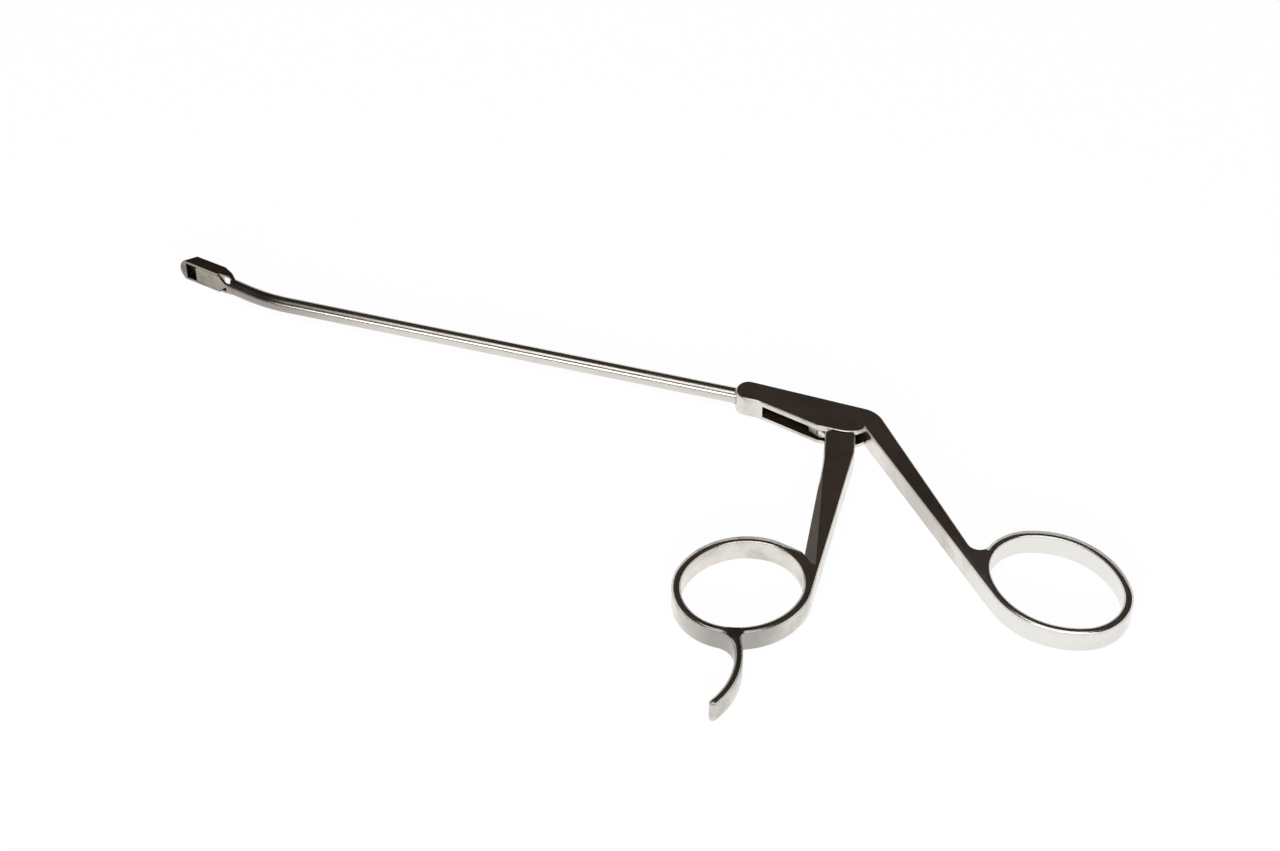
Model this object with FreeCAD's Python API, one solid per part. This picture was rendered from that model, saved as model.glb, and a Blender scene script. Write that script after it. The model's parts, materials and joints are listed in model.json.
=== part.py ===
import FreeCAD, Part
import math
import os

# Arthroscopic retrograde forceps with a bent tubular shaft and a ring handle, lying on its side.
# The origin is on the rest plane, straight under the lever pivot. +X runs back along the straight
# part of the shaft to the hand, +Y to the back of the instrument, +Z up off the rest plane.
# Squeezing the lever pulls the rod in the shaft, and the rod pulls the punch back to the shaft's end.

Vector = FreeCAD.Vector
UP = Vector(0, 0, 1)

# Handle forging
plate = 5.5
edge_bevel = 0.38
nose_reach = 25.2
nose_corner = 2.8
back_height = 2.95
back_slope = 0.05
shoulder_x = 5.9
shoulder_radius = 6.0
nose_flat = 5.6
belly_start_y = -1.65
belly_round = 4.0
cheek_corner_x = -5.4
cheek_corner_rise = 0.05
cheek_radius = 5.5
crotch_x = 5.0
crotch_y = -3.6
junction_fillet = 2.4

# Thumb ring, an oval at the end of the rear arm
thumb_x = 52.2
thumb_y = -35.4
thumb_half_length = 14.5
thumb_half_width = 11.2
thumb_turn = -22.0
thumb_blunt_ratio = 0.203636
ring_wall = 1.9
arm_aim_side = 15.0
arm_aim_rise = -0.131

# Slot for the lever and the link, open towards the hand
slot_width = 3.1
slot_roof_wall = 0.6
slot_front_wall = 6.7

# Shaft
shaft_rise = 1.4
tube_outer = 3.5
tube_bore = 2.5
bend_start_x = -129.5
bend_radius = 40.0
bend_angle = 15.0
tube_tail = 2.6

# Pivot and lever
pivot_diameter = 2.0
running_gap = 0.05
eye_radius = 2.2
tongue_side_gap = 0.05
shoulder_gap = 0.6
lever_top_front_x = -3.5
lever_top_rear_x = 2.9
lever_waist_x = -1.7
lever_waist_y = -15.5
lever_hip_x = 4.0
lever_hip_y = -10.5
lever_foot_gap = 1.06135
lever_foot_angle = 50.1479
lever_hip_round = 12.0
lever_waist_round = 40.0
bevel_top_x = -2.0
bevel_top_y = -13.0
bevel_width = 2.5
bevel_depth = 1.1
bevel_ring_gap = 0.5
closing_angle = 22.0

# Finger ring and the hook under it
finger_x = -9.3
finger_y = -53.9
finger_half_length = 12.8
finger_half_width = 11.3
finger_turn = 40.0
finger_blunt_ratio = 0.452
hook_root_side = 1.1
hook_root_drop = 12.1
hook_bulge_side = 4.7
hook_bulge_drop = 23.6
hook_tip_side = 2.4
hook_tip_drop = 31.7
hook_root_lap = 4.0
hook_width = 1.65
hook_fillet = 4.6
hook_heel_fillet = 1.2

# Link between the rod and the lever
rod_pin_setback = 2.0
link_pin_x = -4.7
link_pin_y = -3.6
link_pin_diameter = 1.0
open_pivot_gap = 0.15
fork_radius = 1.35
fork_slot = 1.3
fork_thickness = 2.3
fork_reach = 2.6
fork_throat_gap = 0.15
fork_relief = 1.65
fork_taper = 1.2
link_bar = 1.5
ear_radius = 1.3
ear_thickness = 1.2

# Rod in the shaft
rod_gap = 0.1
rod_end_gap = 0.15
rod_shoulder_lap = 0.2
band_thickness = 0.6
band_width = 1.9
front_rod_end_u = 2.2

# Jaw, measured from the end of the bend: u runs to the tip, v to the back, w across
jaw_half_width = 2.75
jaw_wall = 0.6
collar_start = 3.5
collar_flare_end = 4.75
collar_end = 4.6
strap_root = 3.9
strap_root_back = 0.85
strap_root_belly = 0.0
strap_end_belly = -0.41
head_start = 7.3
head_back = 2.05
tip_back = 1.68
tip_back_u = 14.85
belly_root = -0.62
belly_tip = -1.05
tip_corner_u = 16.8
tip_bulge = 1.2
tip_lean = 1.8
window_end = 16.35
roof_start = 8.2
roof_underside = 1.15
dovetail_flare = 0.1
slide_gap = 0.08
bite_clearance = 0.1
punch_front = 13.7
punch_nose_round = 0.5
punch_bow = 0.35
drawbar_width = 0.9
drawbar_back = -0.25
drawbar_belly = -0.85
drawbar_tail_u = 1.0
web_start_u = 5.6
web_end_u = 7.35
notch_gap = 0.12

middle = plate / 2
shaft_y = shaft_rise
cheek_corner_y = cheek_corner_rise - cheek_radius
cheek_corner_round = edge_bevel + 0.02
slot_front_x = slot_front_wall - nose_reach
rod_pin_x = slot_front_x + rod_pin_setback
rod_shoulder_x = slot_front_x - rod_shoulder_lap
bend_centre = Vector(bend_start_x, shaft_y + bend_radius, middle)
rod_diameter = tube_bore - 2 * rod_gap
pivot_radius = pivot_diameter / 2
lever_shoulder = cheek_radius + shoulder_gap
tongue_thickness = slot_width - 2 * tongue_side_gap


def point(x, y, z=0.0):
    return Vector(x, y, z)


def back_line(x):
    """Height of the handle's back edge, which falls slightly towards the hand."""
    return back_height - back_slope * x


def rounded_outline(corners):
    """Closed flat face through (x, y, radius) corners, each rounded by a tangent arc."""
    count = len(corners)
    starts = []
    arcs = []
    for index, (x, y, radius) in enumerate(corners):
        here = point(x, y)
        before = point(*corners[index - 1][:2]) - here
        after = point(*corners[(index + 1) % count][:2]) - here
        before.normalize()
        after.normalize()
        if radius == 0:
            starts.append((here, here))
            arcs.append(None)
            continue
        half = before.getAngle(after) / 2
        bisector = before + after
        bisector.normalize()
        run = radius / math.tan(half)
        centre = here + bisector * (radius / math.sin(half))
        starts.append((here + before * run, here + after * run))
        arcs.append(centre - bisector * radius)
    edges = []
    for index in range(count):
        enter, leave = starts[index]
        if arcs[index] is not None:
            edges.append(Part.Arc(enter, arcs[index], leave).toShape())
        following = starts[(index + 1) % count][0]
        if leave.distanceToPoint(following) > 1e-6:
            edges.append(Part.LineSegment(leave, following).toShape())
    return Part.Face(Part.Wire(edges))


def prism(face, low, high):
    """Flat face pushed up between two heights."""
    moved = face.copy()
    moved.translate(Vector(0, 0, low))
    return moved.extrude(Vector(0, 0, high - low))


def post(x, y, radius, low, high):
    return Part.makeCylinder(radius, high - low, point(x, y, low), UP)


def oval_circles(half_length, half_width, blunt):
    """Centres and radii of an oval's four arcs, on its own axes, from the +X end round by the +Y side."""
    end = half_width * (blunt + (1 - blunt) * half_width / half_length)
    side = (half_length ** 2 + half_width ** 2 - 2 * half_length * end) / (2 * (half_width - end))
    return [(point(half_length - end, 0), end), (point(0, half_width - side), side),
            (point(end - half_length, 0), end), (point(0, side - half_width), side)]


def oval(x, y, half_length, half_width, turn, blunt, wall=0.0):
    """Flat oval face, widened all round by a wall, with its long axis turned from +X by degrees."""
    circles = oval_circles(half_length, half_width, blunt)
    joints = []
    for index, (centre, radius) in enumerate(circles):
        other = circles[(index + 1) % 4][0]
        outward = centre - other if index % 2 == 0 else other - centre
        outward.normalize()
        small, small_radius = (centre, radius) if index % 2 == 0 else circles[(index + 1) % 4]
        joints.append(small + outward * (small_radius + wall))
    tops = [point(1, 0), point(0, 1), point(-1, 0), point(0, -1)]
    edges = []
    for index, (centre, radius) in enumerate(circles):
        top = centre + tops[index] * (radius + wall)
        edges.append(Part.Arc(joints[index - 1], top, joints[index]).toShape())
    face = Part.Face(Part.Wire(edges))
    face.rotate(Vector(0, 0, 0), UP, turn)
    face.translate(point(x, y))
    return face


def tangent_to_ring(start, ring, side):
    """Where a line from start touches a ring's outside; side +1 takes its left, -1 its right."""
    x, y, half_length, half_width, turn, blunt = ring
    rim = oval(*ring, ring_wall).OuterWire
    spin = FreeCAD.Rotation(UP, turn)
    for centre, radius in oval_circles(half_length, half_width, blunt):
        place = spin.multVec(centre) + point(x, y)
        back = start - place
        if back.Length <= radius + ring_wall:
            continue
        open_angle = math.degrees(math.acos((radius + ring_wall) / back.Length))
        back.normalize()
        arm = FreeCAD.Rotation(UP, side * open_angle).multVec(back)
        touch = place + arm * (radius + ring_wall)
        if rim.distToShape(Part.Vertex(touch))[0] < 1e-6:
            return touch
    raise ValueError("the line misses the ring")


def meeting_edges(solid, first, second):
    """Upright edges where two outlines cross in plan, from -X to +X."""
    found = []
    for edge in solid.Edges:
        low = edge.Vertexes[0].Point
        high = edge.Vertexes[-1].Point
        foot = Part.Vertex(point(low.x, low.y))
        upright = abs(low.x - high.x) + abs(low.y - high.y) < 1e-6 and abs(low.z - high.z) > 1
        if upright and first.distToShape(foot)[0] < 1e-4 and second.distToShape(foot)[0] < 1e-4:
            found.append(edge)
    return sorted(found, key=lambda edge: edge.Vertexes[0].X)


def rim_edges(solid, thickness):
    """Edges that lie wholly in the lower or the upper face of a plate."""
    found = []
    for edge in solid.Edges:
        box = edge.BoundBox
        flat = box.ZLength < 1e-6
        if flat and (abs(box.ZMin) < 1e-6 or abs(box.ZMax - thickness) < 1e-6):
            found.append(edge)
    return found


thumb_ring = (thumb_x, thumb_y, thumb_half_length, thumb_half_width, thumb_turn, thumb_blunt_ratio)
finger_ring = (finger_x, finger_y, finger_half_length, finger_half_width, finger_turn, finger_blunt_ratio)


def arm_slope():
    """Fall of the rear arm's back edge, which aims at a place on the thumb ring."""
    return (back_line(shoulder_x) - thumb_y - arm_aim_rise) / (thumb_x - arm_aim_side - shoulder_x)


def arm_back_line(x):
    """Height of the rear arm's back edge."""
    return back_line(shoulder_x) - arm_slope() * (x - shoulder_x)


def arm_back_edge():
    """Line of the rear arm's back edge, from the shoulder on past the thumb ring's near side."""
    start = point(shoulder_x, arm_back_line(shoulder_x))
    return Part.LineSegment(start, point(thumb_x, arm_back_line(thumb_x))).toShape()


def arm_lap():
    """Place inside the thumb ring's wall where the arm's back edge ends."""
    start = point(shoulder_x, arm_back_line(shoulder_x))
    crossings = arm_back_edge().distToShape(oval(*thumb_ring, ring_wall).OuterWire)[1]
    meeting = min([pair[0] for pair in crossings], key=start.distanceToPoint)
    return meeting + point(1, -arm_slope()) * (ring_wall / 4)


def handle_blank():
    """Nose, cheeks and rear arm in one plate, rounded round the pivot where the lever swings."""
    touch = tangent_to_ring(point(crotch_x, crotch_y), thumb_ring, 1)
    lap = arm_lap()
    low = math.atan2(crotch_y, crotch_x)
    mid = (low - math.pi / 2) / 2
    cheek_rear = point(cheek_radius * math.cos(low), cheek_radius * math.sin(low))
    cheek_mid = point(cheek_radius * math.cos(mid), cheek_radius * math.sin(mid))
    cheek_low = point(0, -cheek_radius)
    body = rounded_outline([
        (-nose_reach, back_line(-nose_reach), nose_corner),
        (shoulder_x, back_line(shoulder_x), shoulder_radius),
        (lap.x, lap.y, 0),
        (thumb_x, thumb_y, 0),
        (touch.x, touch.y, 0),
        (crotch_x, crotch_y, 0),
        (cheek_rear.x, cheek_rear.y, 0),
        (cheek_low.x, cheek_low.y, 0),
        (cheek_corner_x, cheek_corner_y, cheek_corner_round),
        (nose_flat - nose_reach, belly_start_y, belly_round),
        (-nose_reach, belly_start_y + 0.1, nose_corner - 0.2),
    ])
    cheek = Part.Face(Part.Wire([
        Part.Arc(cheek_low, cheek_mid, cheek_rear).toShape(),
        Part.LineSegment(cheek_rear, cheek_low).toShape(),
    ]))
    return prism(body, 0, plate).fuse(prism(cheek, 0, plate))


def lever_slot():
    """Slot between the cheeks: a long channel for the link and a fan for the lever's tongue."""
    sweep = math.radians(closing_angle)
    clear = eye_radius + 0.3
    rear_x = lever_top_rear_x + 0.45
    rear_y = -math.sqrt(lever_shoulder ** 2 - rear_x ** 2)
    swung_x = rear_x * math.cos(sweep) - rear_y * math.sin(sweep)
    swung_y = rear_x * math.sin(sweep) + rear_y * math.cos(sweep)
    roof_front = back_line(slot_front_x) - slot_roof_wall
    roof_rear = back_line(clear) - slot_roof_wall
    outline = rounded_outline([
        (slot_front_x, roof_front, 0.4),
        (clear, roof_rear, 0.8),
        (clear, 0, 0),
        (swung_x, swung_y, 0),
        (swung_x, -plate * 2, 0),
        (slot_front_x, -plate * 2, 0),
    ])
    half = slot_width / 2
    return prism(outline, middle - half, middle + half)


def handle_body():
    outer = oval(*thumb_ring, ring_wall)
    inner = oval(*thumb_ring)
    blank = handle_blank().fuse(prism(outer, 0, plate)).cut(prism(inner, -1, plate + 1)).removeSplitter()
    blank = blank.makeFillet(junction_fillet, meeting_edges(blank, arm_back_edge(), outer.OuterWire))
    blank = blank.makeChamfer(edge_bevel, rim_edges(blank, plate))
    bore = Part.makeCylinder(tube_outer / 2, nose_reach + slot_front_x + 1.2,
                             point(-nose_reach - 1, shaft_y, middle), Vector(1, 0, 0))
    hole = post(0, 0, pivot_radius, -1, plate + 1)
    return blank.cut(lever_slot()).cut(bore).cut(hole)


def centre_of_arc(first, second, third):
    """Centre of the circle through three places in plan."""
    return Part.Arc(first, second, third).toShape().Curve.Center


def hook_face():
    """Curved finger rest under the finger ring, with a rounded tip."""
    bulge = point(finger_x + hook_bulge_side, finger_y - hook_bulge_drop)
    tip = point(finger_x + hook_tip_side, finger_y - hook_tip_drop)
    centre = centre_of_arc(point(finger_x + hook_root_side, finger_y - hook_root_drop), bulge, tip)
    root = point(finger_x + hook_root_side, finger_y - hook_root_drop) - centre
    root = centre + FreeCAD.Rotation(UP, math.degrees(hook_root_lap / root.Length)).multVec(root)

    def offset(place, distance):
        outward = place - centre
        outward.normalize()
        return place + outward * distance

    half = hook_width / 2
    end = tip - centre
    end.normalize()
    beyond = tip + point(end.y, -end.x) * half
    return Part.Face(Part.Wire([
        Part.Arc(offset(root, half), offset(bulge, half), offset(tip, half)).toShape(),
        Part.Arc(offset(tip, half), beyond, offset(tip, -half)).toShape(),
        Part.Arc(offset(tip, -half), offset(bulge, -half), offset(root, -half)).toShape(),
        Part.LineSegment(offset(root, -half), offset(root, half)).toShape(),
    ]))


def lever_foot():
    """Corner at the lower end of the lever's front edge, a little clear of the finger ring."""
    away = point(finger_half_length + ring_wall + lever_foot_gap, 0)
    return point(finger_x, finger_y) + FreeCAD.Rotation(UP, lever_foot_angle).multVec(away)


def lever_bevel():
    """Long wedge off the upper front edge of the lever, widening from nothing to a step at the ring."""
    top = point(bevel_top_x, bevel_top_y, plate)
    inner = lever_foot() + point(bevel_width, 0, plate)
    fall = point(-bevel_width, 0, -bevel_depth)
    end = inner + (inner - top) * 0.1
    wedge = Part.Face(Part.makePolygon([top, end, end + fall * 2.5, top])).extrude(Vector(0, 0, plate))
    return wedge.cut(prism(oval(*finger_ring, ring_wall + bevel_ring_gap), 0, 2 * plate))


def mirrored(solid):
    """The same solid on the other side of the instrument's middle plane."""
    return solid.mirror(Vector(0, 0, middle), UP)


def lever_blank():
    """Full thickness part of the lever with its ring and hook."""
    hip = point(lever_hip_x, lever_hip_y)
    foot = lever_foot()
    rear_touch = tangent_to_ring(hip, finger_ring, -1)
    front_touch = tangent_to_ring(foot, finger_ring, 1)
    stem = rounded_outline([
        (lever_top_front_x, -lever_shoulder - 0.3, 0.6),
        (lever_top_front_x + 1.6, -lever_shoulder + 0.9, 0),
        (lever_top_rear_x, -lever_shoulder + 0.9, 0),
        (hip.x, hip.y, lever_hip_round),
        (rear_touch.x, rear_touch.y, 0),
        (finger_x, finger_y, 0),
        (front_touch.x, front_touch.y, 0),
        (foot.x, foot.y, 0),
        (lever_waist_x, lever_waist_y, lever_waist_round),
    ])
    outer = oval(*finger_ring, ring_wall)
    hook = hook_face()
    blank = prism(stem, 0, plate).fuse([prism(outer, 0, plate), prism(hook, 0, plate)])
    blank = blank.cut(prism(oval(*finger_ring), -1, plate + 1)).removeSplitter()
    front = meeting_edges(blank, hook.OuterWire, outer.OuterWire)[:1]
    blank = blank.makeFillet(hook_fillet, front)
    heel = meeting_edges(blank, hook.OuterWire, outer.OuterWire)[-1:]
    blank = blank.makeFillet(hook_heel_fillet, heel)
    blank = blank.makeChamfer(edge_bevel, rim_edges(blank, plate))
    return blank.cut([post(0, 0, lever_shoulder, -1, plate + 1), lever_bevel(), mirrored(lever_bevel())])


def lever_tongue():
    """Thinner head of the lever between the cheeks, with a thin ear for the link."""
    low = middle - tongue_thickness / 2
    high = middle + tongue_thickness / 2
    neck = rounded_outline([
        (-eye_radius, 0, 0),
        (lever_top_front_x + 0.6, -lever_shoulder - 0.7, 0),
        (lever_top_rear_x - 0.1, -lever_shoulder - 0.4, 0),
        (eye_radius, 0, 0),
    ])
    ear = rounded_outline([
        (link_pin_x, link_pin_y + ear_radius, 0),
        (link_pin_x, link_pin_y - ear_radius, 0),
        (-1, -lever_shoulder - 0.4, 0),
        (-1, -eye_radius / 2, 0),
    ])
    thin_low = middle - ear_thickness / 2
    thin_high = middle + ear_thickness / 2
    tongue = prism(neck, low, high).fuse(post(0, 0, eye_radius, low, high))
    thin = prism(ear, thin_low, thin_high).fuse(post(link_pin_x, link_pin_y, ear_radius, thin_low, thin_high))
    return tongue.fuse(thin)


def finger_lever():
    solid = lever_blank().fuse(lever_tongue()).removeSplitter()
    solid = solid.cut(post(0, 0, pivot_radius + running_gap, -1, plate + 1))
    return solid.cut(post(link_pin_x, link_pin_y, link_pin_diameter / 2, -1, plate + 1))


def pivot_pin():
    return post(0, 0, pivot_radius, 0, plate)


def small_pin(x, y):
    """Headless pin through a fork, as long as the fork is thick."""
    return post(x, y, link_pin_diameter / 2, middle - fork_thickness / 2, middle + fork_thickness / 2)


def link_length():
    return math.hypot(link_pin_x - rod_pin_x, link_pin_y - shaft_y)


def link_angle(pin_x, pin_y):
    """Angle of the link in degrees when its lever pin is at a place and its rod pin on the shaft's axis."""
    return math.degrees(math.asin((pin_y - shaft_y) / link_length()))


def closed_link_pin():
    turn = math.radians(closing_angle)
    return point(link_pin_x * math.cos(turn) - link_pin_y * math.sin(turn),
                 link_pin_x * math.sin(turn) + link_pin_y * math.cos(turn))


def rod_travel():
    """How far the lever's full swing pulls the rod."""
    closed = closed_link_pin()
    reach = math.sqrt(link_length() ** 2 - (closed.y - shaft_y) ** 2)
    return closed.x - reach - rod_pin_x


def fork(hole_radius, relief):
    """Forked end of the link round a pin at the origin, opening away from +X, with room on the relief's side."""
    half = fork_thickness / 2
    cheeks = Part.makeCylinder(fork_radius, fork_thickness, point(0, 0, -half), UP)
    cheeks = cheeks.fuse(Part.makeBox(fork_reach, 2 * fork_radius, fork_thickness, point(0, -fork_radius, -half)))
    neck = Part.makeCone(fork_radius, link_bar / 2, fork_taper, point(fork_reach, 0, 0), Vector(1, 0, 0))
    neck = neck.common(Part.makeBox(4 * fork_reach, 4 * fork_radius, fork_thickness, point(0, -2 * fork_radius, -half)))
    reach = 2 * fork_radius
    mouth = Part.makeBox(reach, 2 * reach, fork_slot, point(-reach, -reach, -fork_slot / 2))
    seat = Part.makeCylinder(ear_radius + fork_throat_gap, fork_slot, point(0, 0, -fork_slot / 2), UP)
    swing_room = Part.makeBox(reach + relief, reach, fork_slot, point(-reach, -reach, -fork_slot / 2))
    hole = Part.makeCylinder(hole_radius, 2 * fork_thickness, point(0, 0, -fork_thickness), UP)
    return cheeks.fuse(neck).removeSplitter().cut([mouth, seat, swing_room, hole])


def drive_link():
    """Bar with a fork at each end; the lever's end has the wider holes."""
    length = link_length()
    pin_radius = link_pin_diameter / 2
    near = fork(pin_radius + running_gap, 0)
    far = fork(pin_radius + open_pivot_gap, fork_relief)
    far.rotate(Vector(0, 0, 0), UP, 180)
    far.translate(Vector(length, 0, 0))
    bar = Part.makeCylinder(link_bar / 2, length - 2 * fork_reach, point(fork_reach, 0, 0), Vector(1, 0, 0))
    link = near.fuse([bar, far]).removeSplitter()
    link.rotate(Vector(0, 0, 0), UP, link_angle(link_pin_x, link_pin_y))
    link.translate(point(rod_pin_x, shaft_y, middle))
    return link


def drive_rod():
    """Straight rod in the shaft with a flat eye for the link."""
    start = bend_start_x + rod_end_gap
    rod = Part.makeCylinder(rod_diameter / 2, rod_shoulder_x - start, point(start, shaft_y, middle), Vector(1, 0, 0))
    low = middle - ear_thickness / 2
    flat_half = math.sqrt((rod_diameter / 2) ** 2 - (ear_thickness / 2) ** 2) - 0.01
    tang = Part.makeBox(rod_pin_x - rod_shoulder_x + 0.5, 2 * flat_half, ear_thickness,
                        point(rod_shoulder_x - 0.5, shaft_y - flat_half, low))
    eye = post(rod_pin_x, shaft_y, ear_radius, low, low + ear_thickness)
    hole = post(rod_pin_x, shaft_y, link_pin_diameter / 2, 0, plate)
    return rod.fuse([tang, eye]).removeSplitter().cut(hole)


def round_bend(shape):
    """Places a piece that was laid out along the straight shaft at the end of the bend."""
    moved = shape.copy()
    moved.rotate(bend_centre, UP, -bend_angle)
    return moved


def straight_tube(length, end_x):
    """Length of tube in front of end_x on the shaft's axis."""
    start = point(end_x - length, shaft_y, middle)
    axis = Vector(1, 0, 0)
    outer = Part.makeCylinder(tube_outer / 2, length, start, axis)
    return outer.cut(Part.makeCylinder(tube_bore / 2, length, start, axis))


def shaft_tube():
    place = point(bend_start_x, shaft_y, middle)
    axis = Vector(1, 0, 0)
    rim = Part.Wire([Part.makeCircle(tube_outer / 2, place, axis)])
    hole = Part.Wire([Part.makeCircle(tube_bore / 2, place, axis)])
    elbow = Part.Face(rim).revolve(bend_centre, UP, -bend_angle)
    elbow = elbow.cut(Part.Face(hole).revolve(bend_centre, UP, -bend_angle))
    rear = straight_tube(slot_front_x - bend_start_x, slot_front_x)
    front = round_bend(straight_tube(tube_tail, bend_start_x))
    return rear.fuse([elbow, front]).removeSplitter()


def bend_band():
    """Flat springy band that carries the pull round the bend."""
    half_width = band_width / 2
    half_thickness = band_thickness / 2
    corners = [(-half_thickness, -half_width), (half_thickness, -half_width),
               (half_thickness, half_width), (-half_thickness, half_width)]
    places = [point(bend_start_x, shaft_y + y, middle + z) for y, z in corners]
    section = Part.Face(Part.makePolygon(places + places[:1]))
    end_turn = math.degrees(rod_end_gap / bend_radius)
    section.rotate(bend_centre, UP, -end_turn)
    return section.revolve(bend_centre, UP, -(bend_angle - 2 * end_turn))


def jaw_point(u, v, w=0.0):
    return point(bend_start_x - u, shaft_y + v, middle + w)


def side_prism(corners, half):
    """Solid whose outline is seen from the side of the jaw, across to half on each side."""
    places = [jaw_point(u, v, -half) for u, v in corners]
    return Part.Face(Part.makePolygon(places + places[:1])).extrude(Vector(0, 0, 2 * half))


def belly_line(u):
    """Height of the jaw's belly, which falls slightly towards the tip."""
    return belly_root + (belly_tip - belly_root) * (u - collar_start) / (tip_corner_u - collar_start)


def jaw_side():
    """Outline of the jaw from the side, past the tip, which is rounded off afterwards."""
    past = tip_corner_u + tip_bulge + 1
    step = head_start + 0.2
    back_slope_v = (tip_back - head_back) / (tip_back_u - head_start)
    return side_prism([
        (collar_start, strap_root_belly),
        (step, strap_end_belly),
        (step, belly_line(step)),
        (past, belly_line(past)),
        (past, tip_back + back_slope_v * (past - tip_back_u)),
        (head_start, head_back),
        (strap_root, strap_root_back),
        (collar_start, strap_root_back / 2),
    ], jaw_half_width + 1)


def jaw_plan():
    """Outline of the jaw from its back, without the rounded tip."""
    tube_half = tube_outer / 2
    past = tip_corner_u + tip_bulge + 1
    corners = [(collar_start, -0.8 * tube_half), (collar_flare_end, -jaw_half_width), (past, -jaw_half_width),
               (past, jaw_half_width), (collar_flare_end, jaw_half_width), (collar_start, 0.8 * tube_half)]
    places = [jaw_point(u, -plate, w) for u, w in corners]
    return Part.Face(Part.makePolygon(places + places[:1])).extrude(Vector(0, 2 * plate, 0))


def rounded_tip():
    """Long block with a bowed end that leans back, which shapes the jaw's tip."""
    height = tip_back - belly_tip
    below = 1.0
    shift = tip_lean * below / height
    half = jaw_half_width + 0.01
    low = belly_tip - below
    corner_u = tip_corner_u + shift
    rear = -2 * plate
    edges = [
        Part.LineSegment(jaw_point(rear, low, -half), jaw_point(corner_u, low, -half)).toShape(),
        Part.Arc(jaw_point(corner_u, low, -half), jaw_point(corner_u + tip_bulge, low, 0),
                 jaw_point(corner_u, low, half)).toShape(),
        Part.LineSegment(jaw_point(corner_u, low, half), jaw_point(rear, low, half)).toShape(),
        Part.LineSegment(jaw_point(rear, low, half), jaw_point(rear, low, -half)).toShape(),
    ]
    rise = height + 2 * below
    return Part.Face(Part.Wire(edges)).extrude(Vector(tip_lean * rise / height, rise, 0))


def channel(start_u, end_u, gap):
    """Dovetail channel between the jaw's side walls, or with a gap the slide that runs in it."""
    inner = jaw_half_width - jaw_wall - gap
    low = -plate / 2
    high = roof_underside - gap
    slope = dovetail_flare / (roof_underside - belly_tip)
    low_half = inner + slope * (low - belly_tip)
    high_half = inner + slope * (high - belly_tip)
    places = [jaw_point(start_u, low, -low_half), jaw_point(start_u, high, -high_half),
              jaw_point(start_u, high, high_half), jaw_point(start_u, low, low_half)]
    return Part.Face(Part.makePolygon(places + places[:1])).extrude(Vector(start_u - end_u, 0, 0))


def jaw_box(u_low, u_high, v_low, v_high, half):
    return Part.makeBox(u_high - u_low, v_high - v_low, 2 * half, jaw_point(u_high, v_low, -half))


def jaw_frame():
    """Collar, two side walls, roof and end wall, brazed to the end of the tube."""
    head = jaw_side().common(jaw_plan()).common(rounded_tip())
    stub = straight_tube(collar_end - tube_tail, bend_start_x - tube_tail)
    wall_gap = jaw_half_width - jaw_wall
    back_window = jaw_box(collar_end, roof_start, roof_underside, plate, wall_gap + dovetail_flare)
    bore = Part.makeCylinder(tube_bore / 2, plate, jaw_point(collar_end, 0), Vector(1, 0, 0))
    frame = head.fuse(stub).removeSplitter()
    notch = punch_web(notch_gap)
    notch.translate(Vector(rod_travel(), 0, 0))
    notch = notch.common(jaw_box(0, collar_end + 0.05, -plate, plate, plate))
    return round_bend(frame.cut([channel(collar_end, window_end, 0), back_window, bore, notch]))


def punch_web(gap):
    """Flat fan that spreads the drawbar to the punch's width, or with a gap the room that it needs."""
    narrow = drawbar_width / 2 + gap
    wide = jaw_half_width - jaw_wall - slide_gap + gap
    low = drawbar_belly - gap
    fan = [(web_start_u - gap, narrow), (web_end_u - gap, wide), (web_end_u + 0.6, wide),
           (web_end_u + 0.6, -wide), (web_end_u - gap, -wide), (web_start_u - gap, -narrow)]
    places = [jaw_point(u, low, w) for u, w in fan]
    return Part.Face(Part.makePolygon(places + places[:1])).extrude(Vector(0, drawbar_back + gap - low, 0))


def punch_rear():
    """Where the punch's cutting end rests when the mouth is open."""
    return collar_end + rod_travel() + bite_clearance


def bowed_block(rear_u, front_u):
    """Plan of the punch: a bowed cutting end at the rear and eased corners in front."""
    half = jaw_half_width
    low = -plate / 2
    front_half = jaw_half_width - jaw_wall - slide_gap
    edges = [
        Part.Arc(jaw_point(rear_u + punch_bow, low, -half), jaw_point(rear_u, low, 0),
                 jaw_point(rear_u + punch_bow, low, half)).toShape(),
        Part.LineSegment(jaw_point(rear_u + punch_bow, low, half),
                         jaw_point(front_u - punch_nose_round, low, half)).toShape(),
        Part.LineSegment(jaw_point(front_u - punch_nose_round, low, half),
                         jaw_point(front_u, low, front_half - punch_nose_round)).toShape(),
        Part.LineSegment(jaw_point(front_u, low, front_half - punch_nose_round),
                         jaw_point(front_u, low, -front_half + punch_nose_round)).toShape(),
        Part.LineSegment(jaw_point(front_u, low, -front_half + punch_nose_round),
                         jaw_point(front_u - punch_nose_round, low, -half)).toShape(),
        Part.LineSegment(jaw_point(front_u - punch_nose_round, low, -half),
                         jaw_point(rear_u + punch_bow, low, -half)).toShape(),
    ]
    return Part.Face(Part.Wire(edges)).extrude(Vector(0, plate, 0))


def cutting_punch():
    """Dovetailed punch block with the flat drawbar that runs into the shaft."""
    rear = punch_rear()
    body = channel(rear - 1, punch_front + 1, slide_gap).common(bowed_block(rear, punch_front))
    body = body.common(side_prism([(rear - 1, belly_line(rear - 1)), (punch_front + 1, belly_line(punch_front + 1)),
                                   (punch_front + 1, plate), (rear - 1, plate)], jaw_half_width))
    half = drawbar_width / 2
    bar = jaw_box(drawbar_tail_u, rear + 1, drawbar_belly, drawbar_back, half)
    return round_bend(body.fuse([bar, punch_web(0)]).removeSplitter())


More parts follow.
